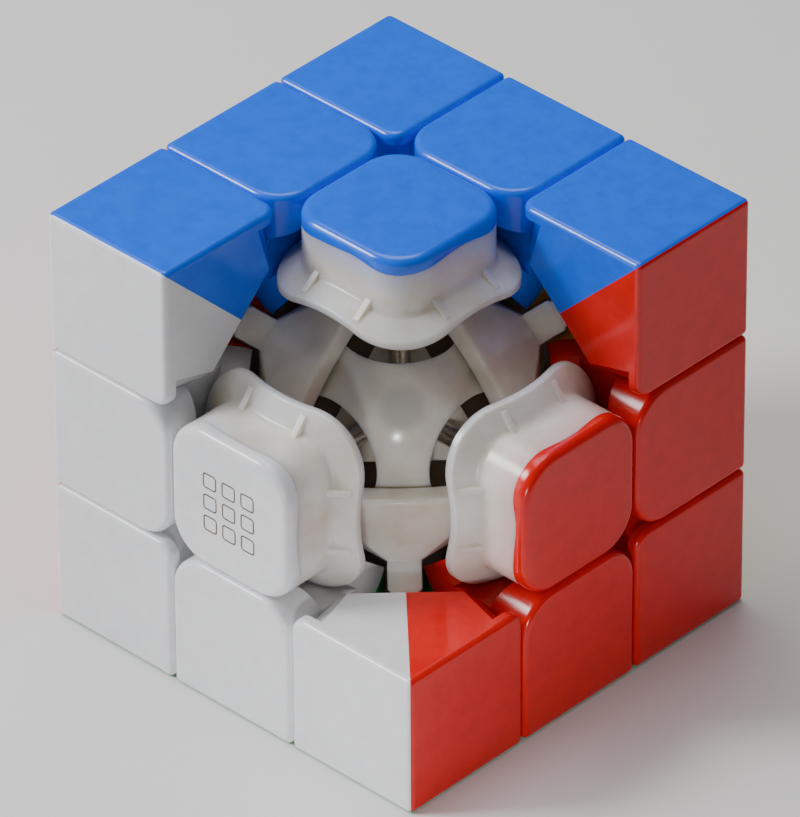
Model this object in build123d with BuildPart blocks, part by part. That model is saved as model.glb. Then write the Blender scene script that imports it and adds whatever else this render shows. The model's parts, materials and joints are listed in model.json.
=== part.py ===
"""Ball-core 3 x 3 x 3 puzzle cube with one corner and its three edges taken out.

Origin at the centre of the cube, +Z up. Every piece is drawn once in a home
position (centres on +Z, edges between +Y and +Z, corners on the +X +Y +Z
diagonal) and then turned into each of its places.

Every running face is a surface of revolution about X, Y and Z, so that any
face of the cube can turn. From the ball outwards they are: corner feet, edge
feet, the skirts of the centres, and the coloured bodies.
"""

import os
from itertools import combinations
from math import sqrt

from build123d import *

os.makedirs("parts", exist_ok=True)

# ---------------------------------------------------------------- the whole cube
side = 55.5  # across two opposite faces
play = 0.2  # gap between neighbouring pieces at a seam
wall_plate = 1.5  # thickness of the coloured outer plates

half = side / 2
seam = side / 6  # the planes between the layers
low = seam + play / 2  # inner side of a corner, or of an edge across its length
reach = seam - play / 2  # half the length of an edge, half the width of a centre
plate = half - wall_plate  # underside of the outer plates

# ---------------------------------------------------------------- running surfaces
core_radius = 12.9  # outside of the core ball
core_wall = 1.6
run_gap = 0.2  # clearance between pieces that slide over each other
foot_turn_radius = 15.8  # outer faces of the corner feet, about each axis
foot_top_radius = 18.4  # outermost reach of the corner feet
skirt_under = 22.3  # radius of the underside of the skirts
skirt_thickness = 0.7
skirt_half = 11.85  # half the width of a skirt
float_travel = 0.7  # how far a centre lifts against its spring
groove_reach = 23.7  # how deep the edges are grooved for the skirts and ribs

foot_under_radius = core_radius + run_gap
edge_under_radius = foot_top_radius + run_gap
edge_foot_radius = skirt_under - run_gap
skirt_top = skirt_under + skirt_thickness
groove_side = skirt_half + run_gap

# ---------------------------------------------------------------- centres
tile_corner = 5.0
tile_round = 1.0
plug_wall = 1.1
plug_depth = 2.0
plug_inset = 1.6  # wall of the housing around the cap's plug
plug_gap = 0.08
skirt_corner = 7.4
skirt_blend = 0.8  # fillet where the skirt leaves the wall
rim_round = 0.25
rib_place = 4.0  # ribs either side of the middle of each wall
rib_thickness = 0.7
rib_length = 2.1
rib_height = 0.9  # where a rib meets the wall
rib_tip_height = 0.2
hub_radius = 5.0
hub_floor = 2.2  # thickness of the floor that the spring stands on
boss_wall = 1.2

# ---------------------------------------------------------------- screws and springs
shank_radius = 1.25
shank_gap = 0.08
thread_gap = 0.02
head_radius = 2.8
head_thickness = 1.1
head_round = 0.3
head_recess = 0.7
head_gap = 0.25  # air between the screw head and the cap
recess_width = 0.7
recess_length = 3.2
spring_radius = 2.2  # to the middle of the wire
wire_radius = 0.25
spring_turns = 4
spring_gap = 0.35  # spring to the wall of its pocket
spring_end_gap = 0.05

# ---------------------------------------------------------------- core
window_radius = 6.8
web_thickness = 1.0  # web across the middle of the ball
web_gap = 0.05
tower_flat = 5.9  # middle to side of the triangular towers on the web
tower_height = 3.6
thread_start = 2.6
boss_radius = 3.4

# ---------------------------------------------------------------- magnets
magnet_radius = 2.5
magnet_thickness = 1.6
magnet_gap = 0.05
magnet_skin = 0.5  # wall between a magnet and the seam
magnet_place = 20.5  # along both other axes
foot_magnet_top = 15.6
core_magnet_top = 10.9

# ---------------------------------------------------------------- edges and corners
edge_inner_corner = 4.7
edge_cavity_low = 15.5
edge_round = 0.75
corner_inner_round = 2.0
corner_round = 0.75
corner_tip = 23.6  # distance of the corner's inner end from the middle of the cube
corner_cut_top = 15.9  # radius of the cut-back under the plate
corner_cut_low = 14.6
corner_cut_bend = 20.5
corner_cavity_low = 12.0
corner_tip_wall = 1.4
foot_low = 1.5  # the middle of each side of a foot, from the plane beside it
foot_bulge_radius = 26.0  # the sides of the feet are slightly convex
foot_tip_gap = 4.6  # the tips of the feet stay this far from each axis
foot_round = 0.5
neck_radius = 1.15  # across the flats, half
neck_gap = 0.05
neck_head = 2.3
neck_head_thickness = 1.4

diagonal = Vector(1, 1, 1).normalized()
nearby = 0.2  # tolerance for picking edges by where they are


def diagonal_plane(distance):
    """Plane across the home diagonal, its x axis turned towards +Z."""
    return Plane(origin=diagonal * distance, x_dir=(-1, -1, 2), z_dir=diagonal)


def triangle(flat):
    """Triangle around the middle of a sketch, with the given distance to its sides."""
    rise = sqrt(3) * flat
    Polygon((2 * flat, 0), (-flat, rise), (-flat, -rise), align=None)


# ================================================================ shared cutters
with BuildPart() as skirt_groove:
    with BuildSketch(Plane.XZ):
        with Locations((groove_reach / 2, groove_side / 2)):
            Rectangle(groove_reach, groove_side)
        Circle(edge_foot_radius, mode=Mode.SUBTRACT)
    revolve(axis=Axis.Z)

with BuildPart() as corner_cut:
    with BuildSketch(Plane.XZ):
        with BuildLine():
            Polyline(
                (0, 0),
                (corner_cut_low, 0),
                (corner_cut_low, corner_cut_bend),
                (corner_cut_top, plate),
                (0, plate),
                close=True,
            )
        make_face()
    revolve(axis=Axis.Z)

about_z = Plane.XY.location
about_x = Plane(origin=(0, 0, 0), x_dir=(0, 1, 0), z_dir=(1, 0, 0)).location
about_y = Plane(origin=(0, 0, 0), x_dir=(0, 0, 1), z_dir=(0, 1, 0)).location

# ================================================================ centre cap
plug_width = 2 * (reach - plug_inset - plug_gap)
with BuildPart() as cap:
    with BuildSketch(Plane.XY.offset(plate)):
        RectangleRounded(2 * reach, 2 * reach, tile_corner)
    extrude(amount=wall_plate)
    fillet(cap.faces().sort_by(Axis.Z)[-1].edges(), tile_round)
    with BuildSketch(Plane.XY.offset(plate)):
        RectangleRounded(plug_width, plug_width, tile_corner - plug_inset)
        RectangleRounded(
            plug_width - 2 * plug_wall,
            plug_width - 2 * plug_wall,
            tile_corner - plug_inset - plug_wall,
            mode=Mode.SUBTRACT,
        )
    extrude(amount=-plug_depth)

# ================================================================ centre housing
pocket_width = 2 * (reach - plug_inset)
pocket_floor = plate - plug_depth - play
hub_bottom = edge_under_radius + run_gap
spring_floor = hub_bottom + hub_floor
spring_pocket = spring_radius + wire_radius + spring_gap
boss_top = plate - plug_depth

with BuildPart() as rib:
    rib_side = reach - play
    rib_end = reach + rib_length
    rib_root = sqrt(skirt_top**2 - rib_side**2 - rib_place**2)
    rib_tip = sqrt(skirt_top**2 - rib_end**2 - rib_place**2)
    for place in (-rib_place, rib_place):
        with BuildSketch(Plane.YZ.offset(place)):
            with BuildLine():
                Polyline(
                    (rib_side, rib_root - skirt_thickness / 2),
                    (rib_end, rib_tip - skirt_thickness / 2),
                    (rib_end, rib_tip + rib_tip_height),
                    (rib_side, rib_root + rib_height),
                    close=True,
                )
            make_face()
        extrude(amount=rib_thickness / 2, both=True)

with BuildPart() as housing:
    with BuildSketch():
        RectangleRounded(2 * skirt_half, 2 * skirt_half, skirt_corner)
    extrude(amount=half)
    Sphere(skirt_top, mode=Mode.INTERSECT)
    skirt_rim = housing.faces().sort_by(Axis.Z)[-1].edges()
    fillet(skirt_rim, rim_round)
    with BuildSketch():
        RectangleRounded(2 * reach, 2 * reach, tile_corner)
    extrude(amount=plate)
    skirt_root = [
        line
        for line in housing.edges()
        if abs(line.center().length - skirt_top) < nearby
        and max(abs(line.center().X), abs(line.center().Y)) < reach + nearby
    ]
    fillet(skirt_root, skirt_blend)
    with PolarLocations(0, 4):
        add(rib.part)
    Sphere(skirt_under, mode=Mode.SUBTRACT)
    with BuildSketch(Plane.XY.offset(pocket_floor)):
        RectangleRounded(pocket_width, pocket_width, tile_corner - plug_inset)
    extrude(amount=half, mode=Mode.SUBTRACT)
    with BuildSketch(Plane.XY.offset(hub_bottom)):
        Circle(hub_radius)
    extrude(until=Until.NEXT)
    with BuildSketch(Plane.XY.offset(pocket_floor)):
        Circle(spring_pocket + boss_wall)
    extrude(amount=boss_top - pocket_floor)
    with BuildSketch(Plane.XY.offset(spring_floor)):
        Circle(spring_pocket)
    extrude(amount=half, mode=Mode.SUBTRACT)
    with BuildSketch():
        Circle(shank_radius + shank_gap)
    extrude(amount=half, mode=Mode.SUBTRACT)

# ================================================================ centre screw
head_top = plate - head_gap
head_bottom = head_top - head_thickness
with BuildPart() as screw:
    with BuildSketch(Plane.XY.offset(thread_start)):
        Circle(shank_radius)
    extrude(amount=head_bottom - thread_start)
    with BuildSketch(Plane.XY.offset(head_bottom)):
        Circle(head_radius)
    extrude(amount=head_thickness)
    fillet(screw.faces().sort_by(Axis.Z)[-1].edges(), head_round)
    with BuildSketch(Plane.XY.offset(head_top)):
        Rectangle(recess_length, recess_width)
        Rectangle(recess_width, recess_length)
    extrude(amount=-head_recess, mode=Mode.SUBTRACT)

# ================================================================ centre spring
# Drawn at its shortest working length, so that a centre can lift off its stop.
spring_start = spring_floor + float_travel + spring_end_gap + wire_radius
spring_end = head_bottom - spring_end_gap - wire_radius
with BuildPart() as spring:
    with BuildLine():
        Helix(
            pitch=(spring_end - spring_start) / spring_turns,
            height=spring_end - spring_start,
            radius=spring_radius,
            center=(0, 0, spring_start),
        )
    with BuildSketch(Plane(origin=(spring_radius, 0, spring_start), z_dir=(0, 1, 0))):
        Circle(wire_radius)
    sweep(is_frenet=True)

# ================================================================ magnet
with BuildPart() as magnet:
    with BuildSketch():
        Circle(magnet_radius)
    extrude(amount=magnet_thickness)

with BuildPart() as magnet_bore:
    with BuildSketch(Plane.XY.offset(-magnet_gap)):
        Circle(magnet_radius + magnet_gap)
    extrude(amount=magnet_thickness + 2 * magnet_gap)

magnet_depth = magnet_skin + magnet_gap
edge_magnets = [
    Plane(
        origin=(direction * (reach - magnet_depth), magnet_place, magnet_place),
        z_dir=(-direction, 0, 0),
    ).location
    for direction in (-1, 1)
]
corner_side_magnets = [
    Plane(
        origin=(low + magnet_depth, magnet_place, magnet_place), z_dir=(1, 0, 0)
    ).location,
    Plane(
        origin=(magnet_place, low + magnet_depth, magnet_place), z_dir=(0, 1, 0)
    ).location,
    Plane(
        origin=(magnet_place, magnet_place, low + magnet_depth), z_dir=(0, 0, 1)
    ).location,
]
foot_magnet = diagonal_plane(foot_magnet_top - magnet_thickness - magnet_gap).location

# ================================================================ edge
edge_width = half - low
edge_middle = (half + low) / 2
with BuildPart() as edge:
    with BuildSketch():
        with Locations((0, edge_middle)):
            body_outline = Rectangle(2 * reach, edge_width)
        fillet(body_outline.vertices().group_by(Axis.Y)[0], edge_inner_corner)
    extrude(amount=half)
    with BuildSketch(Plane.XZ):
        with Locations((0, edge_middle)):
            side_outline = Rectangle(2 * reach, edge_width)
        fillet(side_outline.vertices().group_by(Axis.Y)[0], edge_inner_corner)
    extrude(amount=-half, mode=Mode.INTERSECT)
    top_rim = edge.faces().sort_by(Axis.Z)[-1].edges()
    front_rim = edge.faces().sort_by(Axis.Y)[-1].edges()
    fillet(top_rim + [rim for rim in front_rim if rim not in top_rim], edge_round)
    Sphere(edge_under_radius, mode=Mode.SUBTRACT)
    with Locations(about_z, about_y):
        add(skirt_groove.part, mode=Mode.SUBTRACT)
    cavity_width = plate - edge_cavity_low
    cavity_middle = (plate + edge_cavity_low) / 2
    cavity_length = 2 * (reach - magnet_depth - magnet_thickness - magnet_gap)
    with Locations((0, cavity_middle, cavity_middle)):
        Box(cavity_length, cavity_width, cavity_width, mode=Mode.SUBTRACT)
    with Locations(*edge_magnets):
        add(magnet_bore.part, mode=Mode.SUBTRACT)

with BuildPart() as edge_half:
    add(edge.part)
    split(bisect_by=Plane(origin=(0, 0, 0), z_dir=(0, -1, 1)), keep=Keep.TOP)

# ================================================================ corner
corner_width = half - low
corner_middle = (half + low) / 2
with BuildPart() as corner_cavity:
    cavity_size = plate - corner_cavity_low
    cavity_centre = (plate + corner_cavity_low) / 2
    with Locations((cavity_centre, cavity_centre, cavity_centre)):
        Box(cavity_size, cavity_size, cavity_size)
    split(bisect_by=diagonal_plane(corner_tip + corner_tip_wall), keep=Keep.TOP)

with BuildPart() as neck_socket:
    with BuildSketch(diagonal_plane(corner_tip - neck_radius)):
        triangle(neck_radius + neck_gap)
    extrude(amount=2 * neck_radius + 2 * corner_tip_wall)

with BuildPart() as corner:
    with Locations((corner_middle, corner_middle, corner_middle)):
        corner_box = Box(corner_width, corner_width, corner_width)
    inner_edges = [
        line for line in corner_box.edges() if sorted(tuple(line.center()))[1] < low + nearby
    ]
    fillet(inner_edges, corner_inner_round)
    outer_rims = [
        line
        for line in corner.edges()
        if max(tuple(line.center())) > half - nearby
    ]
    fillet(outer_rims, corner_round)
    split(bisect_by=diagonal_plane(corner_tip), keep=Keep.TOP)
    with Locations(about_x, about_y, about_z):
        add(corner_cut.part, mode=Mode.SUBTRACT)
    add(corner_cavity.part, mode=Mode.SUBTRACT)
    add(neck_socket.part, mode=Mode.SUBTRACT)
    with Locations(*corner_side_magnets):
        add(magnet_bore.part, mode=Mode.SUBTRACT)

with BuildPart() as corner_shell:
    add(corner.part)
    split(bisect_by=Plane(origin=(0, 0, 0), z_dir=(-1, 0, 1)), keep=Keep.TOP)
    split(bisect_by=Plane(origin=(0, 0, 0), z_dir=(0, -1, 1)), keep=Keep.TOP)

# ================================================================ corner foot
foot_side_planes = [
    Plane(origin=(0, 0, foot_low + foot_bulge_radius), z_dir=(1, 1, 0)).location,
    Plane(origin=(foot_low + foot_bulge_radius, 0, 0), z_dir=(0, 1, 1)).location,
    Plane(origin=(0, foot_low + foot_bulge_radius, 0), z_dir=(1, 0, 1)).location,
]
head_seat = corner_tip + corner_tip_wall + neck_gap
with BuildPart() as corner_foot:
    with Locations((half / 2, half / 2, half / 2)):
        Box(half, half, half)
    Sphere(foot_top_radius, mode=Mode.INTERSECT)
    for turn in (about_x, about_y, about_z):
        with Locations(turn):
            Cylinder(foot_turn_radius, side, mode=Mode.INTERSECT)
    for place in foot_side_planes:
        with Locations(place):
            Cylinder(foot_bulge_radius, side, mode=Mode.INTERSECT)
    with Locations(about_x, about_y, about_z):
        Cylinder(foot_tip_gap, side, mode=Mode.SUBTRACT)
    Sphere(foot_under_radius, mode=Mode.SUBTRACT)
    fillet(corner_foot.edges(), foot_round)
    with BuildSketch(diagonal_plane(foot_magnet_top)):
        triangle(neck_radius)
    extrude(amount=head_seat - foot_magnet_top)
    with BuildSketch(diagonal_plane(head_seat)):
        triangle(neck_head)
    extrude(amount=neck_head_thickness)
    with Locations(about_x, about_y, about_z):
        add(skirt_groove.part, mode=Mode.SUBTRACT)
    with BuildSketch(diagonal_plane(foot_magnet_top)):
        Circle(magnet_radius + magnet_gap)
    extrude(amount=-(foot_magnet_top - core_magnet_top), mode=Mode.SUBTRACT)

# ================================================================ core ball
turns = [about_x, about_y, about_z]
octants = [(x, y, z) for x in (-1, 1) for y in (-1, 1) for z in (-1, 1)]
core_magnet_places = [
    Plane(
        origin=Vector(*octant).normalized() * core_magnet_top,
        z_dir=-Vector(*octant),
    ).location
    for octant in octants
]
boss_height = magnet_thickness + 2 * magnet_gap + play

with BuildPart() as magnet_boss:
    with BuildSketch(Plane.XY.offset(-(core_wall / 2))):
        Circle(boss_radius)
    extrude(amount=core_wall / 2 + boss_height)

with BuildPart() as magnet_hole:
    with BuildSketch(Plane.XY.offset(-magnet_gap)):
        Circle(magnet_radius + magnet_gap)
    extrude(amount=2 * boss_height)

with BuildPart() as window:
    with BuildSketch():
        Circle(window_radius)
    extrude(amount=2 * core_radius, both=True)

with BuildPart() as core_ball:
    Sphere(core_radius)
    Sphere(core_radius - core_wall, mode=Mode.SUBTRACT)
    with Locations(*core_magnet_places):
        add(magnet_boss.part)
    with Locations(*turns):
        add(window.part, mode=Mode.SUBTRACT)
    with Locations(*core_magnet_places):
        add(magnet_hole.part, mode=Mode.SUBTRACT)
core_ball.part.label = "core_ball"
export_step(core_ball.part, "parts/core_ball.step")

# ================================================================ faces, places, names
faces = {
    "blue": Vector(0, 0, 1),
    "green": Vector(0, 0, -1),
    "white": Vector(0, -1, 0),
    "yellow": Vector(0, 1, 0),
    "red": Vector(1, 0, 0),
    "orange": Vector(-1, 0, 0),
}
taken_out = {"blue", "white", "red"}  # the corner of these three, and its edges


def seat(main, beside):
    """Location that turns +Z towards one face and +Y towards the face beside it."""
    across = faces[beside].cross(faces[main])
    return Plane(origin=(0, 0, 0), x_dir=across, z_dir=faces[main]).location


def adjacent(first, second):
    """Whether two faces of the cube meet."""
    return abs(faces[first].dot(faces[second])) < 0.5


def corner_seat(main, second, third):
    """Location that turns the home corner so that +Z faces the main colour."""
    right_handed = faces[second].cross(faces[main]).dot(faces[third]) > 0
    return seat(main, second if right_handed else third)


def layer(colours):
    """Name of the layer that a piece with these colours lies in."""
    if "blue" in colours:
        return "up"
    if "green" in colours:
        return "down"
    return "middle"


edges_in = [
    pair
    for pair in combinations(faces, 2)
    if adjacent(*pair) and not set(pair) <= taken_out
]
corners_in = [
    trio
    for trio in combinations(faces, 3)
    if all(adjacent(*pair) for pair in combinations(trio, 2)) and set(trio) != taken_out
]
face_seats = [seat(name, next(n for n in faces if adjacent(name, n))) for name in faces]

# ================================================================ core spider
joint_direction = Vector(1, -1, 1)  # the ball's two halves meet across this diagonal
web_radius = core_radius - core_wall - web_gap
tower_reach = sqrt(web_radius**2 - tower_height**2)
near_half = Plane(origin=(0, 0, 0), x_dir=(-1, 1, 2), z_dir=joint_direction)
far_half = Plane(origin=(0, 0, 0), x_dir=(1, -1, -2), z_dir=-joint_direction)
boss_notches = [
    Plane(origin=Vector(*octant).normalized() * core_magnet_top, z_dir=octant).location
    for octant in octants
    if abs(Vector(*octant).dot(joint_direction)) < 2
]

with BuildPart() as screw_bore:
    with BuildSketch(Plane.XY.offset(thread_start - shank_gap)):
        Circle(shank_radius + thread_gap)
    extrude(amount=half)

with BuildPart() as core_spider:
    with BuildSketch(near_half):
        Circle(web_radius)
    extrude(amount=web_thickness / 2, both=True)
    for core_half in (near_half, far_half):
        with BuildSketch(core_half):
            triangle(tower_flat)
            Circle(tower_reach, mode=Mode.INTERSECT)
        extrude(amount=tower_height)
    with Locations(*boss_notches):
        Cylinder(boss_radius + run_gap, 2 * (boss_height + run_gap), mode=Mode.SUBTRACT)
    with Locations(*face_seats):
        add(screw_bore.part, mode=Mode.SUBTRACT)
core_spider.part.label = "core_spider"
export_step(core_spider.part, "parts/core_spider.step")

# ================================================================ screws and springs
with BuildPart() as centre_screws:
    with Locations(*face_seats):
        add(screw.part)
centre_screws.part.label = "centre_screws"
export_step(centre_screws.part, "parts/centre_screws.step")

with BuildPart() as centre_springs:
    with Locations(*face_seats):
        add(spring.part)
centre_springs.part.label = "centre_springs"
export_step(centre_springs.part, "parts/centre_springs.step")

# ================================================================ centres
for name, place in zip(faces, face_seats):
    for piece, master in (("cap", cap), ("housing", housing)):
        with BuildPart() as centre_piece:
            with Locations(place):
                add(master.part)
        centre_piece.part.label = f"{name}_centre_{piece}"
        export_step(centre_piece.part, f"parts/{name}_centre_{piece}.step")

# ================================================================ edges
magnet_places = {"up": [], "middle": list(core_magnet_places), "down": []}
for pair in edges_in:
    for main, beside in (pair, pair[::-1]):
        with BuildPart() as half_piece:
            with Locations(seat(main, beside)):
                add(edge_half.part)
        half_name = f"{main}_half_of_{pair[0]}_{pair[1]}_edge"
        half_piece.part.label = half_name
        export_step(half_piece.part, f"parts/{half_name}.step")
    magnet_places[layer(pair)] += [seat(*pair) * place for place in edge_magnets]

# ================================================================ corners
foot_seats = {"up": [], "down": []}
for trio in corners_in:
    for main in trio:
        others = [name for name in trio if name != main]
        with BuildPart() as shell_piece:
            with Locations(corner_seat(main, *others)):
                add(corner_shell.part)
        shell_name = f"{main}_shell_of_{trio[0]}_{trio[1]}_{trio[2]}_corner"
        shell_piece.part.label = shell_name
        export_step(shell_piece.part, f"parts/{shell_name}.step")
    home = corner_seat(*trio)
    foot_seats[layer(trio)].append(home)
    corner_magnets = corner_side_magnets + [foot_magnet]
    magnet_places[layer(trio)] += [home * place for place in corner_magnets]

for name, seats in foot_seats.items():
    with BuildPart() as corner_feet:
        with Locations(*seats):
            add(corner_foot.part)
    corner_feet.part.label = f"{name}_corner_feet"
    export_step(corner_feet.part, f"parts/{name}_corner_feet.step")

# ================================================================ magnets
magnet_nodes = {"up": "up_layer_magnets", "middle": "core_and_middle_magnets"}
magnet_nodes["down"] = "down_layer_magnets"
for name, places in magnet_places.items():
    with BuildPart() as magnets:
        with Locations(*places):
            add(magnet.part)
    magnets.part.label = magnet_nodes[name]
    export_step(magnets.part, f"parts/{magnet_nodes[name]}.step")
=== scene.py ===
"""Ball-core puzzle cube: finishes, moulded pieces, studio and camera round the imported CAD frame.

The coloured shells, the milky housings, the core, the screws, springs and magnets
are the CAD nodes themselves. The six caps get the wavy lower edge of the colour
that is moulded over the housing, and the corner feet get a soft blend into their
necks. Each of these rides on the body of the CAD node that it stands for.
"""

from __future__ import annotations

import json
import logging
import math
from dataclasses import dataclass, field
from enum import Enum
from typing import Callable, Iterable, Sequence

import bpy
from mathutils import Matrix, Vector

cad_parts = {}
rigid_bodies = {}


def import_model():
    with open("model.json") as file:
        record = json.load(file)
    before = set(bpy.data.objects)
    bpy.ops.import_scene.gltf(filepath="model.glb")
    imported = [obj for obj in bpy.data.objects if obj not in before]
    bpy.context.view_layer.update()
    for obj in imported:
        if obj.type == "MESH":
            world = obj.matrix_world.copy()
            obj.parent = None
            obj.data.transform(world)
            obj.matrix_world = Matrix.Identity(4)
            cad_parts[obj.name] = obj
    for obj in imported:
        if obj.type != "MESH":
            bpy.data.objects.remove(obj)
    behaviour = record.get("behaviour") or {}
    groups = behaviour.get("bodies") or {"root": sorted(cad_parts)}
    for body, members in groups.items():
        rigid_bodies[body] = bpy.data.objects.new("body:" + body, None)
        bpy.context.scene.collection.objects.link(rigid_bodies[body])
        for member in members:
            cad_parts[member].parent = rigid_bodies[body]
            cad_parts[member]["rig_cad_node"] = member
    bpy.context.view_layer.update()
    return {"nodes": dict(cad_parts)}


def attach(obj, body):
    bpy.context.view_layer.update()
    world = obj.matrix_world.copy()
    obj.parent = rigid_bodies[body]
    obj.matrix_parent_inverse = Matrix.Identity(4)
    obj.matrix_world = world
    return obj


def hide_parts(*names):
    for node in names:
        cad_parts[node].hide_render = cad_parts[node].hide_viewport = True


LOG = logging.getLogger("puzzle_cube")
MM = 0.001  # every size below is in millimetres

Ring = list[Vector]
NodeLinks = dict[str, bpy.types.NodeSocket]


# ------------------------------------------------------------------ colour and nodes
def linear(colour: str) -> tuple[float, float, float, float]:
    """Turn an sRGB hex colour into linear light.

    Args:
        colour: Six hex digits, with or without a leading hash.

    Returns:
        Linear red, green and blue with an alpha of one.
    """
    digits = colour.lstrip("#")
    channels = []
    for start in (0, 2, 4):
        value = int(digits[start : start + 2], 16) / 255
        low = value / 12.92
        high = ((value + 0.055) / 1.055) ** 2.4
        channels.append(low if value <= 0.04045 else high)
    return (channels[0], channels[1], channels[2], 1.0)


def add_node(
    tree: bpy.types.NodeTree,
    kind: str,
    settings: dict[str, object] | None = None,
    links: NodeLinks | None = None,
) -> bpy.types.Node:
    """Add a shader node, set it up and wire its inputs.

    Args:
        tree: The material's node tree.
        kind: Blender's name for the node type.
        settings: Values by socket name, or by attribute name where no socket has it.
        links: Output sockets by the name or number of the input they feed.

    Returns:
        The new node.
    """
    node = tree.nodes.new(kind)
    for name, value in (settings or {}).items():
        if name.isdigit():
            node.inputs[int(name)].default_value = value
        elif name in node.inputs:
            node.inputs[name].default_value = value
        else:
            setattr(node, name, value)
    for name, source in (links or {}).items():
        target = node.inputs[int(name)] if name.isdigit() else node.inputs[name]
        tree.links.new(source, target)
    return node


class Sides(Enum):
    """The six faces of the cube: colour name, outward direction and body of the centre."""

    UP = ("blue", (0, 0, 1), "up_centre")
    DOWN = ("green", (0, 0, -1), "down_centre")
    FRONT = ("white", (0, -1, 0), "front_centre")
    BACK = ("yellow", (0, 1, 0), "back_centre")
    RIGHT = ("red", (1, 0, 0), "right_centre")
    LEFT = ("orange", (-1, 0, 0), "left_centre")

    @property
    def colour(self) -> str:
        """Colour name, as the CAD nodes use it."""
        return self.value[0]

    @property
    def outward(self) -> Vector:
        """Unit vector out of this face."""
        return Vector(self.value[1])

    @property
    def body(self) -> str:
        """CAD body that the centre of this face belongs to."""
        return self.value[2]

    def turn(self) -> Matrix:
        """Work out the rotation that takes +Z to this face.

        Returns:
            The rotation. It keeps up as up where it can.
        """
        out = self.outward
        up = Vector((0, 1, 0)) if abs(out.z) > 0.5 else Vector((0, 0, 1))
        across = up.cross(out)
        return Matrix((across, up, out)).transposed().to_4x4()


# ------------------------------------------------------------------ finishes
@dataclass(frozen=True)
class Finish:
    """What every finish shares: a name, and a Principled shader to wire into."""

    name: str

    def start(self) -> tuple[bpy.types.Material, bpy.types.NodeTree, bpy.types.Node]:
        """Make an empty material with a Principled shader.

        Returns:
            The material, its node tree and the shader node.
        """
        material = bpy.data.materials.new(self.name)
        material.use_nodes = True
        tree = material.node_tree
        tree.nodes.clear()
        shader = add_node(tree, "ShaderNodeBsdfPrincipled")
        add_node(
            tree, "ShaderNodeOutputMaterial", links={"Surface": shader.outputs["BSDF"]}
        )
        return material, tree, shader

    def millimetres(self, tree: bpy.types.NodeTree) -> bpy.types.NodeSocket:
        """Add coordinates in millimetres, in the frame of the whole cube.

        Args:
            tree: The material's node tree.

        Returns:
            The socket that carries the coordinates.
        """
        place = add_node(tree, "ShaderNodeTexCoord")
        scaled = add_node(
            tree,
            "ShaderNodeVectorMath",
            {"operation": "SCALE", "Scale": 1 / MM},
            {"0": place.outputs["Object"]},
        )
        return scaled.outputs["Vector"]


@dataclass(frozen=True)
class GlossyAbs(Finish):
    """Solid-coloured ABS, injection moulded in a polished tool.

    The tool leaves a mirror-like skin over faint sink waves a few millimetres
    long, so reflections are sharp and bend a little. Handling dulls it in
    patches.
    """

    colour: str
    shade: str
    roughness: float = 0.2
    wave_length: float = 5.0
    wave_height: float = 0.012
    patch_length: float = 2.2
    skin_depth: float = 0.35
    duller: float = 0.07
    brighter: float = 0.04

    def build(self) -> bpy.types.Material:
        """Make the material.

        Returns:
            The finished material.
        """
        material, tree, shader = self.start()
        place = self.millimetres(tree)
        patches = add_node(
            tree,
            "ShaderNodeTexNoise",
            {"Scale": 1 / self.patch_length, "Detail": 4.0, "Roughness": 0.6},
            {"Vector": place},
        )
        tone = add_node(
            tree,
            "ShaderNodeValToRGB",
            links={"Fac": patches.outputs["Fac"]},
        )
        tone.color_ramp.elements[0].position = 0.3
        tone.color_ramp.elements[0].color = linear(self.shade)
        tone.color_ramp.elements[1].position = 0.6
        tone.color_ramp.elements[1].color = linear(self.colour)
        gloss = add_node(
            tree,
            "ShaderNodeMapRange",
            {
                "To Min": self.roughness - self.brighter,
                "To Max": self.roughness + self.duller,
            },
            {"Value": patches.outputs["Fac"]},
        )
        waves = add_node(
            tree,
            "ShaderNodeTexNoise",
            {"Scale": 1 / self.wave_length, "Detail": 1.0},
            {"Vector": place},
        )
        bump = add_node(
            tree,
            "ShaderNodeBump",
            {"Strength": 1.0, "Distance": self.wave_height * MM},
            {"Height": waves.outputs["Fac"]},
        )
        tree.links.new(tone.outputs["Color"], shader.inputs["Base Color"])
        tree.links.new(gloss.outputs["Result"], shader.inputs["Roughness"])
        tree.links.new(bump.outputs["Normal"], shader.inputs["Normal"])
        shader.inputs["IOR"].default_value = 1.53
        shader.inputs["Subsurface Weight"].default_value = 0.12
        shader.inputs["Subsurface Radius"].default_value = (1.0, 0.6, 0.4)
        shader.inputs["Subsurface Scale"].default_value = self.skin_depth * MM
        return material


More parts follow.
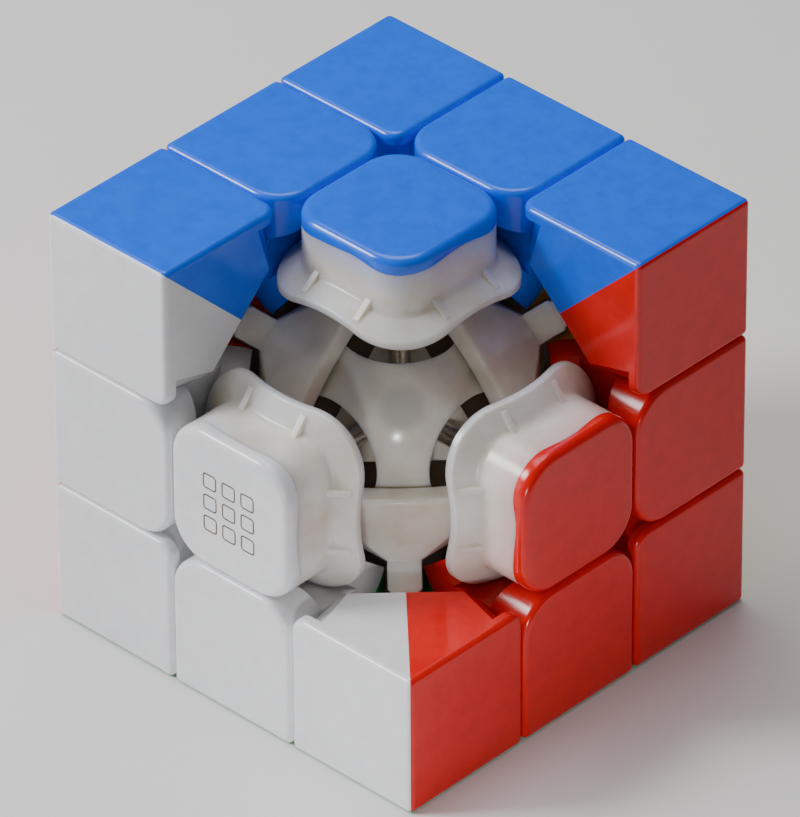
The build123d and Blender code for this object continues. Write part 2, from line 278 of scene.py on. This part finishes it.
@dataclass(frozen=True)
class MilkyPlastic(Finish):
    """Undyed translucent plastic, injection moulded with soft edges.

    Light goes a few millimetres in and comes out warm, so thin skirts glow and
    thick blocks are creamy. Near a coloured cap the block gets a painted glow of
    the cap's colour, standing for the light that comes through the cap.
    colour.
    """

    colour: str = "#f4f1ea"
    depth_colour: str = "#dcd3c4"
    roughness: float = 0.24
    scatter: float = 2.6
    cloud_length: float = 6.0
    grain_length: float = 0.35
    grain_height: float = 0.004
    glow_colour: str | None = None
    glow_direction: tuple[float, float, float] = (0, 0, 1)
    glow_start: float = 25.0
    glow_end: float = 31.0
    glow_share: float = 0.34
    glow_drift: float = 7.0

    def build(self) -> bpy.types.Material:
        """Make the material.

        Returns:
            The finished material.
        """
        material, tree, shader = self.start()
        place = self.millimetres(tree)
        clouds = add_node(
            tree,
            "ShaderNodeTexNoise",
            {"Scale": 1 / self.cloud_length, "Detail": 3.0},
            {"Vector": place},
        )
        tone = add_node(
            tree, "ShaderNodeValToRGB", links={"Fac": clouds.outputs["Fac"]}
        )
        tone.color_ramp.elements[0].position = 0.28
        tone.color_ramp.elements[0].color = linear(self.depth_colour)
        tone.color_ramp.elements[1].position = 0.62
        tone.color_ramp.elements[1].color = linear(self.colour)
        colour = tone.outputs["Color"]
        if self.glow_colour:
            colour = self.tint(tree, place, clouds.outputs["Fac"], colour)
        grain = add_node(
            tree,
            "ShaderNodeTexNoise",
            {"Scale": 1 / self.grain_length, "Detail": 2.0},
            {"Vector": place},
        )
        bump = add_node(
            tree,
            "ShaderNodeBump",
            {"Strength": 1.0, "Distance": self.grain_height * MM},
            {"Height": grain.outputs["Fac"]},
        )
        tree.links.new(colour, shader.inputs["Base Color"])
        tree.links.new(bump.outputs["Normal"], shader.inputs["Normal"])
        gloss = add_node(
            tree,
            "ShaderNodeMapRange",
            {"To Min": self.roughness - 0.05, "To Max": self.roughness + 0.06},
            {"Value": clouds.outputs["Fac"]},
        )
        tree.links.new(gloss.outputs["Result"], shader.inputs["Roughness"])
        shader.inputs["IOR"].default_value = 1.5
        shader.inputs["Subsurface Weight"].default_value = 0.85
        shader.inputs["Subsurface Radius"].default_value = (1.0, 0.82, 0.6)
        shader.inputs["Subsurface Scale"].default_value = self.scatter * MM
        return material

    def tint(
        self,
        tree: bpy.types.NodeTree,
        place: bpy.types.NodeSocket,
        clouds: bpy.types.NodeSocket,
        colour: bpy.types.NodeSocket,
    ) -> bpy.types.NodeSocket:
        """Paint a glow of the cap's colour into the top of the block.

        The noise adds up to glow_drift millimetres to each point's height, half of
        it on average, so glow_start and glow_end lie that half above the true ones.

        Args:
            tree: The material's node tree.
            place: Coordinates in millimetres.
            clouds: Noise that makes the depth of the painted glow uneven.
            colour: The plain milky colour.

        Returns:
            The colour with the painted glow of the cap's colour mixed in.
        """
        height = add_node(
            tree,
            "ShaderNodeVectorMath",
            {"operation": "DOT_PRODUCT", "1": self.glow_direction},
            {"0": place},
        )
        uneven = add_node(
            tree,
            "ShaderNodeMath",
            {"operation": "MULTIPLY_ADD", "1": self.glow_drift},
            {"0": clouds, "2": height.outputs["Value"]},
        )
        share = add_node(
            tree,
            "ShaderNodeMapRange",
            {
                "From Min": self.glow_start,
                "From Max": self.glow_end,
                "To Min": 0.0,
                "To Max": self.glow_share,
                "interpolation_type": "SMOOTHSTEP",
            },
            {"Value": uneven.outputs["Value"]},
        )
        # Painted glow: the cap's colour mixed into the top of the block, standing for light that
        # comes through the cap.
        mixed = add_node(
            tree,
            "ShaderNodeMix",
            {"data_type": "RGBA", "7": linear(self.glow_colour or "#ffffff")},
            {"0": share.outputs["Result"], "6": colour},
        )
        return mixed.outputs[2]


@dataclass(frozen=True)
class MilkyCore(MilkyPlastic):
    """The same plastic as a thin ball wall, with the magnets behind it just visible.

    The magnets sit on the eight diagonals, so their grey shows as a faint disc
    wherever the direction from the middle of the cube is close to a diagonal.
    """

    magnet_edge: float = 0.968
    magnet_middle: float = 0.995
    magnet_colour: str = "#b5b2ac"
    magnet_share: float = 0.55

    def build(self) -> bpy.types.Material:
        """Make the material.

        Returns:
            The finished material.
        """
        material = super().build()
        tree = material.node_tree
        shader = next(n for n in tree.nodes if n.type == "BSDF_PRINCIPLED")
        base = shader.inputs["Base Color"].links[0].from_socket
        place = self.millimetres(tree)
        unit = add_node(
            tree, "ShaderNodeVectorMath", {"operation": "NORMALIZE"}, {"0": place}
        )
        folded = add_node(
            tree,
            "ShaderNodeVectorMath",
            {"operation": "ABSOLUTE"},
            {"0": unit.outputs["Vector"]},
        )
        nearness = add_node(
            tree,
            "ShaderNodeVectorMath",
            {"operation": "DOT_PRODUCT", "1": tuple(Vector((1, 1, 1)).normalized())},
            {"0": folded.outputs["Vector"]},
        )
        shade = add_node(
            tree,
            "ShaderNodeMapRange",
            {
                "From Min": self.magnet_edge,
                "From Max": self.magnet_middle,
                "To Min": 0.0,
                "To Max": self.magnet_share,
                "interpolation_type": "SMOOTHSTEP",
            },
            {"Value": nearness.outputs["Value"]},
        )
        mixed = add_node(
            tree,
            "ShaderNodeMix",
            {"data_type": "RGBA", "7": linear(self.magnet_colour)},
            {"0": shade.outputs["Result"], "6": base},
        )
        tree.links.new(mixed.outputs[2], shader.inputs["Base Color"])
        return material


@dataclass(frozen=True)
class MilkySpider(MilkyPlastic):
    """The same plastic deep inside the ball, where light only soaks through.

    The web across the middle of the ball is thin and far from the windows; its
    dark amber brown is painted shade. The towers on it catch the light and stay milky.
    """

    # Painted shade: the dark amber brown that stands for the unlit web deep in the ball.
    web_colour: str = "#6d4a1c"
    web_direction: tuple[float, float, float] = (0.57735, -0.57735, 0.57735)
    web_top: float = 0.6
    tower_start: float = 1.8

    def build(self) -> bpy.types.Material:
        """Make the material.

        Returns:
            The finished material.
        """
        material = super().build()
        tree = material.node_tree
        shader = next(n for n in tree.nodes if n.type == "BSDF_PRINCIPLED")
        base = shader.inputs["Base Color"].links[0].from_socket
        height = add_node(
            tree,
            "ShaderNodeVectorMath",
            {"operation": "DOT_PRODUCT", "1": self.web_direction},
            {"0": self.millimetres(tree)},
        )
        distance = add_node(
            tree, "ShaderNodeMath", {"operation": "ABSOLUTE"}, {"0": height.outputs["Value"]}
        )
        share = add_node(
            tree,
            "ShaderNodeMapRange",
            {
                "From Min": self.web_top,
                "From Max": self.tower_start,
                "To Min": 0.0,
                "To Max": 1.0,
            },
            {"Value": distance.outputs["Value"]},
        )
        # Painted shade: near the middle plane the web takes the brown shade colour instead of the
        # milky one.
        mixed = add_node(
            tree,
            "ShaderNodeMix",
            {"data_type": "RGBA", "6": linear(self.web_colour)},
            {"0": share.outputs["Result"], "7": base},
        )
        tree.links.new(mixed.outputs[2], shader.inputs["Base Color"])
        return material


@dataclass(frozen=True)
class PlatedMetal(Finish):
    """Turned or drawn steel, or sintered magnet, under a thin bright plating.

    The plating follows the tool marks under it, so highlights streak a little.
    """

    colour: str = "#c9c7c2"
    roughness: float = 0.28
    mark_length: float = 0.25
    mark_height: float = 0.01

    def build(self) -> bpy.types.Material:
        """Make the material.

        Returns:
            The finished material.
        """
        material, tree, shader = self.start()
        place = self.millimetres(tree)
        marks = add_node(
            tree,
            "ShaderNodeTexNoise",
            {"Scale": 1 / self.mark_length, "Detail": 3.0},
            {"Vector": place},
        )
        gloss = add_node(
            tree,
            "ShaderNodeMapRange",
            {"To Min": self.roughness - 0.1, "To Max": self.roughness + 0.15},
            {"Value": marks.outputs["Fac"]},
        )
        bump = add_node(
            tree,
            "ShaderNodeBump",
            {"Strength": 0.6, "Distance": self.mark_height * MM},
            {"Height": marks.outputs["Fac"]},
        )
        tree.links.new(gloss.outputs["Result"], shader.inputs["Roughness"])
        tree.links.new(bump.outputs["Normal"], shader.inputs["Normal"])
        shader.inputs["Base Color"].default_value = linear(self.colour)
        shader.inputs["Metallic"].default_value = 1.0
        return material


@dataclass(frozen=True)
class EngravedInk(Finish):
    """Dark laser-burnt line in white ABS: matt, brown-black and slightly uneven."""

    colour: str = "#4a3a30"
    light: str = "#7c6858"
    grain_length: float = 1 / 3

    def build(self) -> bpy.types.Material:
        """Make the material.

        Returns:
            The finished material.
        """
        material, tree, shader = self.start()
        place = self.millimetres(tree)
        burn = add_node(
            tree,
            "ShaderNodeTexNoise",
            {"Scale": 1 / self.grain_length, "Detail": 3.0},
            {"Vector": place},
        )
        tone = add_node(tree, "ShaderNodeValToRGB", links={"Fac": burn.outputs["Fac"]})
        tone.color_ramp.elements[0].color = linear(self.colour)
        tone.color_ramp.elements[1].color = linear(self.light)
        tree.links.new(tone.outputs["Color"], shader.inputs["Base Color"])
        shader.inputs["Roughness"].default_value = 0.7
        return material


@dataclass
class FinishRack:
    """All finishes of the cube, built once."""

    shells: dict[str, bpy.types.Material] = field(default_factory=dict)
    housings: dict[str, bpy.types.Material] = field(default_factory=dict)
    feet: bpy.types.Material | None = None
    core: bpy.types.Material | None = None
    spider: bpy.types.Material | None = None
    screws: bpy.types.Material | None = None
    springs: bpy.types.Material | None = None
    magnets: bpy.types.Material | None = None
    engraving: bpy.types.Material | None = None

    SHELL_COLOURS = {
        "blue": ("#006cff", "#0065f4"),
        "green": ("#00a03a", "#009636"),
        "white": ("#eff0f3", "#e8e9ed"),
        "yellow": ("#ffd000", "#f6c600"),
        "red": ("#e60400", "#da0300"),
        "orange": ("#ff4400", "#f43f00"),
    }

    def build(self) -> FinishRack:
        """Build every material.

        Returns:
            This rack, filled.
        """
        for side in Sides:
            colour, shade = self.SHELL_COLOURS[side.colour]
            self.shells[side.colour] = GlossyAbs(
                f"{side.colour}_moulded_abs", colour, shade
            ).build()
            # Every housing but the front one gets a painted glow of its cap's colour near the top.
            self.housings[side.colour] = MilkyPlastic(
                f"{side.colour}_centre_milky_plastic",
                glow_colour=None if side is Sides.FRONT else colour,
                glow_direction=tuple(side.outward),
            ).build()
        self.feet = MilkyPlastic(
            "corner_foot_milky_nylon",
            colour="#f1ece2",
            depth_colour="#d9cfbf",
        ).build()
        self.core = MilkyCore(
            "core_ball_milky_acetal",
            colour="#eae6dd",
            depth_colour="#d2cabb",
            roughness=0.16,
            scatter=1.8,
        ).build()
        self.spider = MilkySpider(
            "core_spider_milky_acetal",
            colour="#e9e5dc",
            depth_colour="#d2cabb",
            scatter=0.5,
        ).build()
        self.screws = PlatedMetal("zinc_plated_steel").build()
        self.springs = PlatedMetal(
            "drawn_spring_wire", colour="#b9b8b5", roughness=0.22
        ).build()
        self.magnets = PlatedMetal(
            "nickel_plated_magnet", colour="#bdbcb9", roughness=0.18
        ).build()
        self.engraving = EngravedInk("laser_burnt_abs").build()
        return self


# ------------------------------------------------------------------ mesh helpers
def rounded_square(half: float, corner: float, arc: int = 12, run: int = 8) -> Ring:
    """Outline of a rounded square, anticlockwise, in a steady number of points.

    Args:
        half: Half the width.
        corner: Corner radius.
        arc: Steps round each corner.
        run: Steps along each straight side.

    Returns:
        The points, at z = 0.
    """
    points: Ring = []
    straight = half - corner
    for quarter in range(4):
        turn = Matrix.Rotation(quarter * math.pi / 2, 3, "Z")
        for step in range(run):
            y = -straight + 2 * straight * step / run
            points.append(turn @ Vector((half, y, 0)))
        for step in range(arc):
            angle = math.pi / 2 * step / arc
            x = straight + corner * math.cos(angle)
            y = straight + corner * math.sin(angle)
            points.append(turn @ Vector((x, y, 0)))
    return points


def raised(ring: Ring, height: float | Callable[[Vector], float]) -> Ring:
    """Copy a ring at a height.

    Args:
        ring: The points, in millimetres.
        height: One height, or a function that gives it for each point.

    Returns:
        The raised copy.
    """
    if callable(height):
        return [Vector((p.x, p.y, height(p))) for p in ring]
    return [Vector((p.x, p.y, height)) for p in ring]


def loft(name: str, rings: Sequence[Ring], turn: Matrix) -> bpy.types.Object:
    """Closed surface through rings of equal length, with both ends closed by a fan.

    Args:
        name: Name of the new piece.
        rings: Rings from one end to the other, in millimetres.
        turn: Rotation from the home position to the piece's place.

    Returns:
        The new object, linked to the scene.
    """
    count = len(rings[0])
    points = [p for ring in rings for p in ring]
    faces: list[tuple[int, ...]] = []
    for level in range(len(rings) - 1):
        low, high = level * count, (level + 1) * count
        for i in range(count):
            j = (i + 1) % count
            faces.append((low + i, low + j, high + j, high + i))
    for ring, start, flip in ((rings[0], 0, True), (rings[-1], (len(rings) - 1) * count, False)):
        middle = sum(ring, Vector()) / count
        points.append(middle)
        hub = len(points) - 1
        for i in range(count):
            j = (i + 1) % count
            first, second = (j, i) if flip else (i, j)
            faces.append((start + first, start + second, hub))
    mesh = bpy.data.meshes.new(name)
    mesh.from_pydata([turn @ p * MM for p in points], [], faces)
    mesh.validate()
    mesh.shade_smooth()
    piece = bpy.data.objects.new(name, mesh)
    bpy.context.scene.collection.objects.link(piece)
    return piece


def join(name: str, pieces: Iterable[bpy.types.Object]) -> bpy.types.Object:
    """Join pieces into one mesh without operators.

    Args:
        name: Name of the joined piece.
        pieces: Objects to join; they are removed, unless they are CAD nodes.

    Returns:
        The joined object.
    """
    points: list[Vector] = []
    faces: list[list[int]] = []
    for piece in pieces:
        start = len(points)
        points += [v.co.copy() for v in piece.data.vertices]
        faces += [[start + i for i in p.vertices] for p in piece.data.polygons]
        if "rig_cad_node" not in piece:
            bpy.data.objects.remove(piece)
    mesh = bpy.data.meshes.new(name)
    mesh.from_pydata(points, [], faces)
    mesh.validate()
    joined = bpy.data.objects.new(name, mesh)
    bpy.context.scene.collection.objects.link(joined)
    return joined


def apply_modifiers(piece: bpy.types.Object) -> None:
    """Replace a piece's mesh by what its modifiers make of it.

    Args:
        piece: The piece; its old mesh is removed.
    """
    graph = bpy.context.evaluated_depsgraph_get()
    mesh = bpy.data.meshes.new_from_object(piece.evaluated_get(graph))
    piece.modifiers.clear()
    old = piece.data
    piece.data = mesh
    bpy.data.meshes.remove(old)
    mesh.shade_smooth()


def soften(piece: bpy.types.Object, voxel: float, passes: int) -> None:
    """Melt a piece's sharp edges into moulded rounds.

    Args:
        piece: A closed mesh.
        voxel: Grid step of the remesh.
        passes: Smoothing passes; more of them make larger rounds.
    """
    remesh = piece.modifiers.new("remesh", "REMESH")
    remesh.mode = "VOXEL"
    remesh.voxel_size = voxel * MM
    smooth = piece.modifiers.new("smooth", "SMOOTH")
    smooth.factor = 0.5
    smooth.iterations = passes
    apply_modifiers(piece)


def dress(piece: bpy.types.Object, material: bpy.types.Material) -> None:
    """Give a piece or a CAD node one material.

    Args:
        piece: The piece or node.
        material: The finish.
    """
    piece.data.materials.clear()
    piece.data.materials.append(material)


# ------------------------------------------------------------------ centres
@dataclass
class CentreCap:
    """Coloured cap of one centre, moulded over the top of its milky housing.

    The colour runs a little further down the wall at the corners, and its lower
    edge is not quite even.
    """

    side: Sides
    half: float = 9.18
    corner: float = 5.02
    top: float = 27.74
    edge_round: float = 1.05
    crown: float = 0.03
    skin: float = 0.12
    lip: float = 0.1
    wrap: float = 1.78
    dip: float = 0.26
    drift: float = 0.07
    phase: float = 0.0
    inside_gap: float = 0.06
    plate: float = 1.45

    def edge_height(self, point: Vector) -> float:
        """Height of the cap's lower edge at a point of the outline.

        Args:
            point: A point of the outline, at any height.

        Returns:
            The height above the middle of the cube, in millimetres.
        """
        angle = math.atan2(point.y, point.x)
        wave = math.cos(4 * angle) * self.dip
        ripple = math.sin(9 * angle + self.phase) + math.sin(5 * angle + 2 * self.phase)
        return self.top - self.wrap + wave + self.drift * ripple

    def above_edge(self, height: float, gap: float) -> Callable[[Vector], float]:
        """Make a height function that never goes under the wavy edge plus a gap.

        Args:
            height: The height wanted, in millimetres.
            gap: Least distance above the edge.

        Returns:
            The function from a point of the outline to its height.
        """
        return lambda p: max(height, self.edge_height(p) + gap)

    def face_rings(self) -> list[Ring]:
        """Make the rings from the middle of the face out to where its edge bends.

        Returns:
            The rings, from the middle outwards.
        """
        flat = self.half - self.edge_round
        rings: list[Ring] = []
        for share in (0.15, 0.5, 0.8, 1.0):
            ring = rounded_square(flat * share, (self.corner - self.edge_round) * share)
            rings.append(raised(ring, self.top - self.crown * share**4))
        return rings

    def bend_rings(self, steps: int = 8) -> list[Ring]:
        """Make the rings round the bend and down the wall to the wavy edge.

        Args:
            steps: Number of rings.

        Returns:
            The rings, from the face downwards.
        """
        flat = self.half - self.edge_round
        rings: list[Ring] = []
        for step in range(1, steps + 1):
            angle = math.pi / 2 * step / steps
            out = self.edge_round * math.sin(angle)
            drop = self.edge_round * (1 - math.cos(angle))
            ring = rounded_square(flat + out, self.corner - self.edge_round + out)
            low = self.top - self.crown - drop
            rings.append(raised(ring, self.above_edge(low, self.lip)))
        return rings

    def lip_rings(self, steps: int = 4) -> list[Ring]:
        """Make the rings round the soft lip of the lower edge.

        Args:
            steps: Number of steps round the lip.

        Returns:
            The rings, ending on the inside of the skin.
        """
        rings: list[Ring] = []
        for step in range(steps + 1):
            angle = math.pi / 2 * step / steps
            inset = self.skin * (1 - math.cos(angle))
            rise = self.lip * (1 - math.sin(angle))
            ring = rounded_square(self.half - inset, self.corner - inset)
            rings.append(raised(ring, self.above_edge(0.0, rise)))
        return rings

    def inside_rings(self) -> list[Ring]:
        """Make the rings up the inside of the skin and across the plate.

        Returns:
            The rings, ending in the middle of the underside.
        """
        inner = rounded_square(self.half - self.skin, self.corner - self.skin)
        under = self.top - self.plate
        rings = [raised(inner, self.above_edge(under, self.inside_gap))]
        middle = rounded_square(self.half / 2, self.corner / 2)
        rings.append(raised(middle, under + self.inside_gap))
        return rings

    def build(self, rack: FinishRack) -> bpy.types.Object:
        """Build the cap.

        Args:
            rack: The finishes.

        Returns:
            The cap, riding on its centre's body.
        """
        name = f"{self.side.colour}_cap_moulding"
        rings = self.face_rings() + self.bend_rings() + self.lip_rings()
        cap = loft(name, rings + self.inside_rings(), self.side.turn())
        dress(cap, rack.shells[self.side.colour])
        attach(cap, self.side.body)
        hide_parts(f"{self.side.colour}_centre_cap")
        return cap


@dataclass
class Emblem:
    """Plain engraved mark on the white cap: a three by three grid of small squares."""

    cell: float = 2.1
    pitch: float = 2.9
    line: float = 0.2
    corner: float = 0.45
    depth: float = 0.06
    proud: float = 0.008

    def build(self, cap: CentreCap, rack: FinishRack) -> bpy.types.Object:
        """Build the nine outlined squares as one nearly flush inlay.

        Args:
            cap: The cap that carries the mark.
            rack: The finishes.

        Returns:
            The inlay.
        """
        frames = []
        for column in (-1, 0, 1):
            for row in (-1, 0, 1):
                place = Vector((column * self.pitch, row * self.pitch, 0))
                frames.append(self.square(place, cap.top + self.proud, cap.side.turn()))
        mark = join("white_cap_engraving", frames)
        dress(mark, rack.engraving)
        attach(mark, cap.side.body)
        return mark

    def square(self, place: Vector, top: float, turn: Matrix) -> bpy.types.Object:
        """Closed band round one square cell.

        Args:
            place: Middle of the cell on the face.
            top: Height of the band's upper side.
            turn: Rotation to the cap's place.

        Returns:
            The band.
        """
        outer = [p + place for p in rounded_square(self.cell / 2, self.corner, 4, 2)]
        inner_half = self.cell / 2 - self.line
        inner = [
            p + place for p in rounded_square(inner_half, self.corner - self.line, 4, 2)
        ]
        low = top - self.depth
        rings = [
            raised(inner, low),
            raised(inner, top),
            raised(outer, top),
            raised(outer, low),
        ]
        count = len(outer)
        points = [turn @ p * MM for ring in rings for p in ring]
        faces = []
        for level in range(len(rings)):
            nxt = (level + 1) % len(rings)
            for i in range(count):
                j = (i + 1) % count
                faces.append(
                    (level * count + i, nxt * count + i, nxt * count + j, level * count + j)
                )
        mesh = bpy.data.meshes.new("band")
        mesh.from_pydata(points, [], faces)
        band = bpy.data.objects.new("band", mesh)
        bpy.context.scene.collection.objects.link(band)
        return band


# ------------------------------------------------------------------ feet and core
@dataclass
class SoftMoulding:
    """A milky piece that keeps its CAD outline and gets soft moulded blends."""

    node: str
    name: str
    body: str
    slot: str
    voxel: float = 0.14
    passes: int = 6

    def build(
        self, nodes: dict[str, bpy.types.Object], material: bpy.types.Material
    ) -> bpy.types.Object:
        """Build the piece from its CAD node.

        Args:
            nodes: The CAD nodes by name.
            material: The finish.

        Returns:
            The soft piece, riding on the node's body.
        """
        piece = join(self.name, (nodes[self.node],))
        soften(piece, self.voxel, self.passes)
        dress(piece, material)
        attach(piece, self.body)
        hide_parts(self.node)
        return piece


@dataclass
class Shells:
    """The coloured halves of the edges and shells of the corners, kept from CAD."""

    marks: tuple[str, ...] = ("_half_of_", "_shell_of_")

    def dress_all(
        self, nodes: dict[str, bpy.types.Object], rack: FinishRack
    ) -> list[str]:
        """Give every coloured CAD node its ABS.

        Args:
            nodes: The CAD nodes by name.
            rack: The finishes.

        Returns:
            Names of the dressed nodes.
        """
        done = []
        for name, node in nodes.items():
            if any(mark in name for mark in self.marks):
                dress(node, rack.shells[name.split("_")[0]])
                done.append(name)
        return done


# ------------------------------------------------------------------ studio
@dataclass
class Studio:
    """Pale floor, soft lights and the camera."""

    azimuth: float = 43.6
    elevation: float = 35.35
    roll: float = -0.33
    distance: float = 1200.0
    pixels_per_mm: float = 8.87
    frame_long_side: float = 817.0
    sensor: float = 36.0
    floor_size: float = 4000.0
    floor_height: float = -27.76
    floor_colour: str = "#f3f3f2"
    sky_colour: str = "#f4f6fa"
    sky_strength: float = 0.16
    spot_softness: float = 8.0

    def back(self) -> Vector:
        """Work out the direction from the cube towards the camera.

        Returns:
            The unit vector.
        """
        a, e = math.radians(self.azimuth), math.radians(self.elevation)
        return Vector(
            (math.sin(a) * math.cos(e), -math.cos(a) * math.cos(e), math.sin(e))
        )

    def build_camera(self) -> bpy.types.Object:
        """Make the long-lens camera.

        Returns:
            The camera object.
        """
        data = bpy.data.cameras.new("camera")
        data.sensor_width = self.sensor
        data.lens = self.pixels_per_mm * self.distance / self.frame_long_side * self.sensor
        data.clip_start, data.clip_end = 0.1, 10.0
        camera = bpy.data.objects.new("camera", data)
        back = self.back()
        right = Vector((0, 0, 1)).cross(back).normalized()
        up = back.cross(right)
        angle = math.radians(self.roll)
        across = math.cos(angle) * right + math.sin(angle) * up
        upward = -math.sin(angle) * right + math.cos(angle) * up
        turn = Matrix((across, upward, back)).transposed().to_4x4()
        camera.matrix_world = Matrix.Translation(back * self.distance * MM) @ turn
        bpy.context.scene.collection.objects.link(camera)
        bpy.context.scene.camera = camera
        return camera

    def add_area(
        self, name: str, place: tuple[float, float, float], size: float, power: float
    ) -> bpy.types.Object:
        """Add a square softbox aimed at the cube.

        Args:
            name: Name of the light.
            place: Position in millimetres.
            size: Width in millimetres.
            power: Watts.

        Returns:
            The light object.
        """
        data = bpy.data.lights.new(name, "AREA")
        data.energy = power
        data.size = size * MM
        light = bpy.data.objects.new(name, data)
        light.location = Vector(place) * MM
        light.rotation_mode = "QUATERNION"
        light.rotation_quaternion = light.location.to_track_quat("Z", "Y")
        bpy.context.scene.collection.objects.link(light)
        return light

    def add_spot(
        self,
        name: str,
        place: tuple[float, float, float],
        target: tuple[float, float, float],
        angle: float,
        power: float,
    ) -> bpy.types.Object:
        """Add a soft-edged spot.

        Args:
            name: Name of the light.
            place: Position in millimetres.
            target: Point that it looks at, in millimetres.
            angle: Full cone angle in degrees.
            power: Watts.

        Returns:
            The light object.
        """
        data = bpy.data.lights.new(name, "SPOT")
        data.energy = power
        data.spot_size = math.radians(angle)
        data.spot_blend = 1.0
        data.shadow_soft_size = self.spot_softness * MM
        light = bpy.data.objects.new(name, data)
        light.location = Vector(place) * MM
        light.rotation_mode = "QUATERNION"
        aim = Vector(place) - Vector(target)
        light.rotation_quaternion = aim.to_track_quat("Z", "Y")
        bpy.context.scene.collection.objects.link(light)
        return light

    def build(self) -> None:
        """Make the floor, the lights, the world and the camera."""
        half = self.floor_size / 2 * MM
        z = self.floor_height * MM
        mesh = bpy.data.meshes.new("floor")
        corners = [(-half, -half, z), (half, -half, z), (half, half, z), (-half, half, z)]
        mesh.from_pydata(corners, [], [(0, 1, 2, 3)])
        floor = bpy.data.objects.new("floor", mesh)
        bpy.context.scene.collection.objects.link(floor)
        material = bpy.data.materials.new("matt_paper_floor")
        material.use_nodes = True
        shader = material.node_tree.nodes["Principled BSDF"]
        shader.inputs["Base Color"].default_value = linear(self.floor_colour)
        shader.inputs["Roughness"].default_value = 0.9
        mesh.materials.append(material)
        self.add_area("key_softbox", (-300, -310, 330), 150, 2.2)
        self.add_area("top_softbox", (-120, 60, 520), 380, 1.6)
        self.add_area("left_fill", (-420, -420, 60), 300, 0.6)
        self.add_spot("corner_glow", (120, -140, 24), (26, -26, -12), 26.0, 0.35)
        world = bpy.data.worlds.new("studio")
        world.use_nodes = True
        sky = world.node_tree.nodes["Background"]
        sky.inputs["Color"].default_value = linear(self.sky_colour)
        sky.inputs["Strength"].default_value = self.sky_strength
        bpy.context.scene.world = world
        self.build_camera()


def main() -> None:
    """Build the whole cube round the CAD frame."""
    logging.basicConfig(level=logging.INFO, format="%(name)s: %(message)s")
    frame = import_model()
    nodes = frame["nodes"]
    Studio().build()
    rack = FinishRack().build()

    for name in Shells().dress_all(nodes, rack):
        LOG.info("dressed %s", name)
    dress(nodes["centre_screws"], rack.screws)
    dress(nodes["centre_springs"], rack.springs)
    for name in ("core_and_middle_magnets", "up_layer_magnets", "down_layer_magnets"):
        dress(nodes[name], rack.magnets)

    dress(nodes["core_ball"], rack.core)
    dress(nodes["core_spider"], rack.spider)

    for number, side in enumerate(Sides):
        dress(nodes[f"{side.colour}_centre_housing"], rack.housings[side.colour])
        cap = CentreCap(side, phase=0.9 + 1.3 * number)
        LOG.info("built %s", cap.build(rack).name)
        if side is Sides.FRONT:
            LOG.info("built %s", Emblem().build(cap, rack).name)

    for layer in ("up", "down"):
        feet = SoftMoulding(
            f"{layer}_corner_feet", f"{layer}_feet_moulding", f"{layer}_layer", "milky_foot"
        )
        LOG.info("built %s", feet.build(nodes, rack.feet).name)


if __name__ == "__main__":
    main()
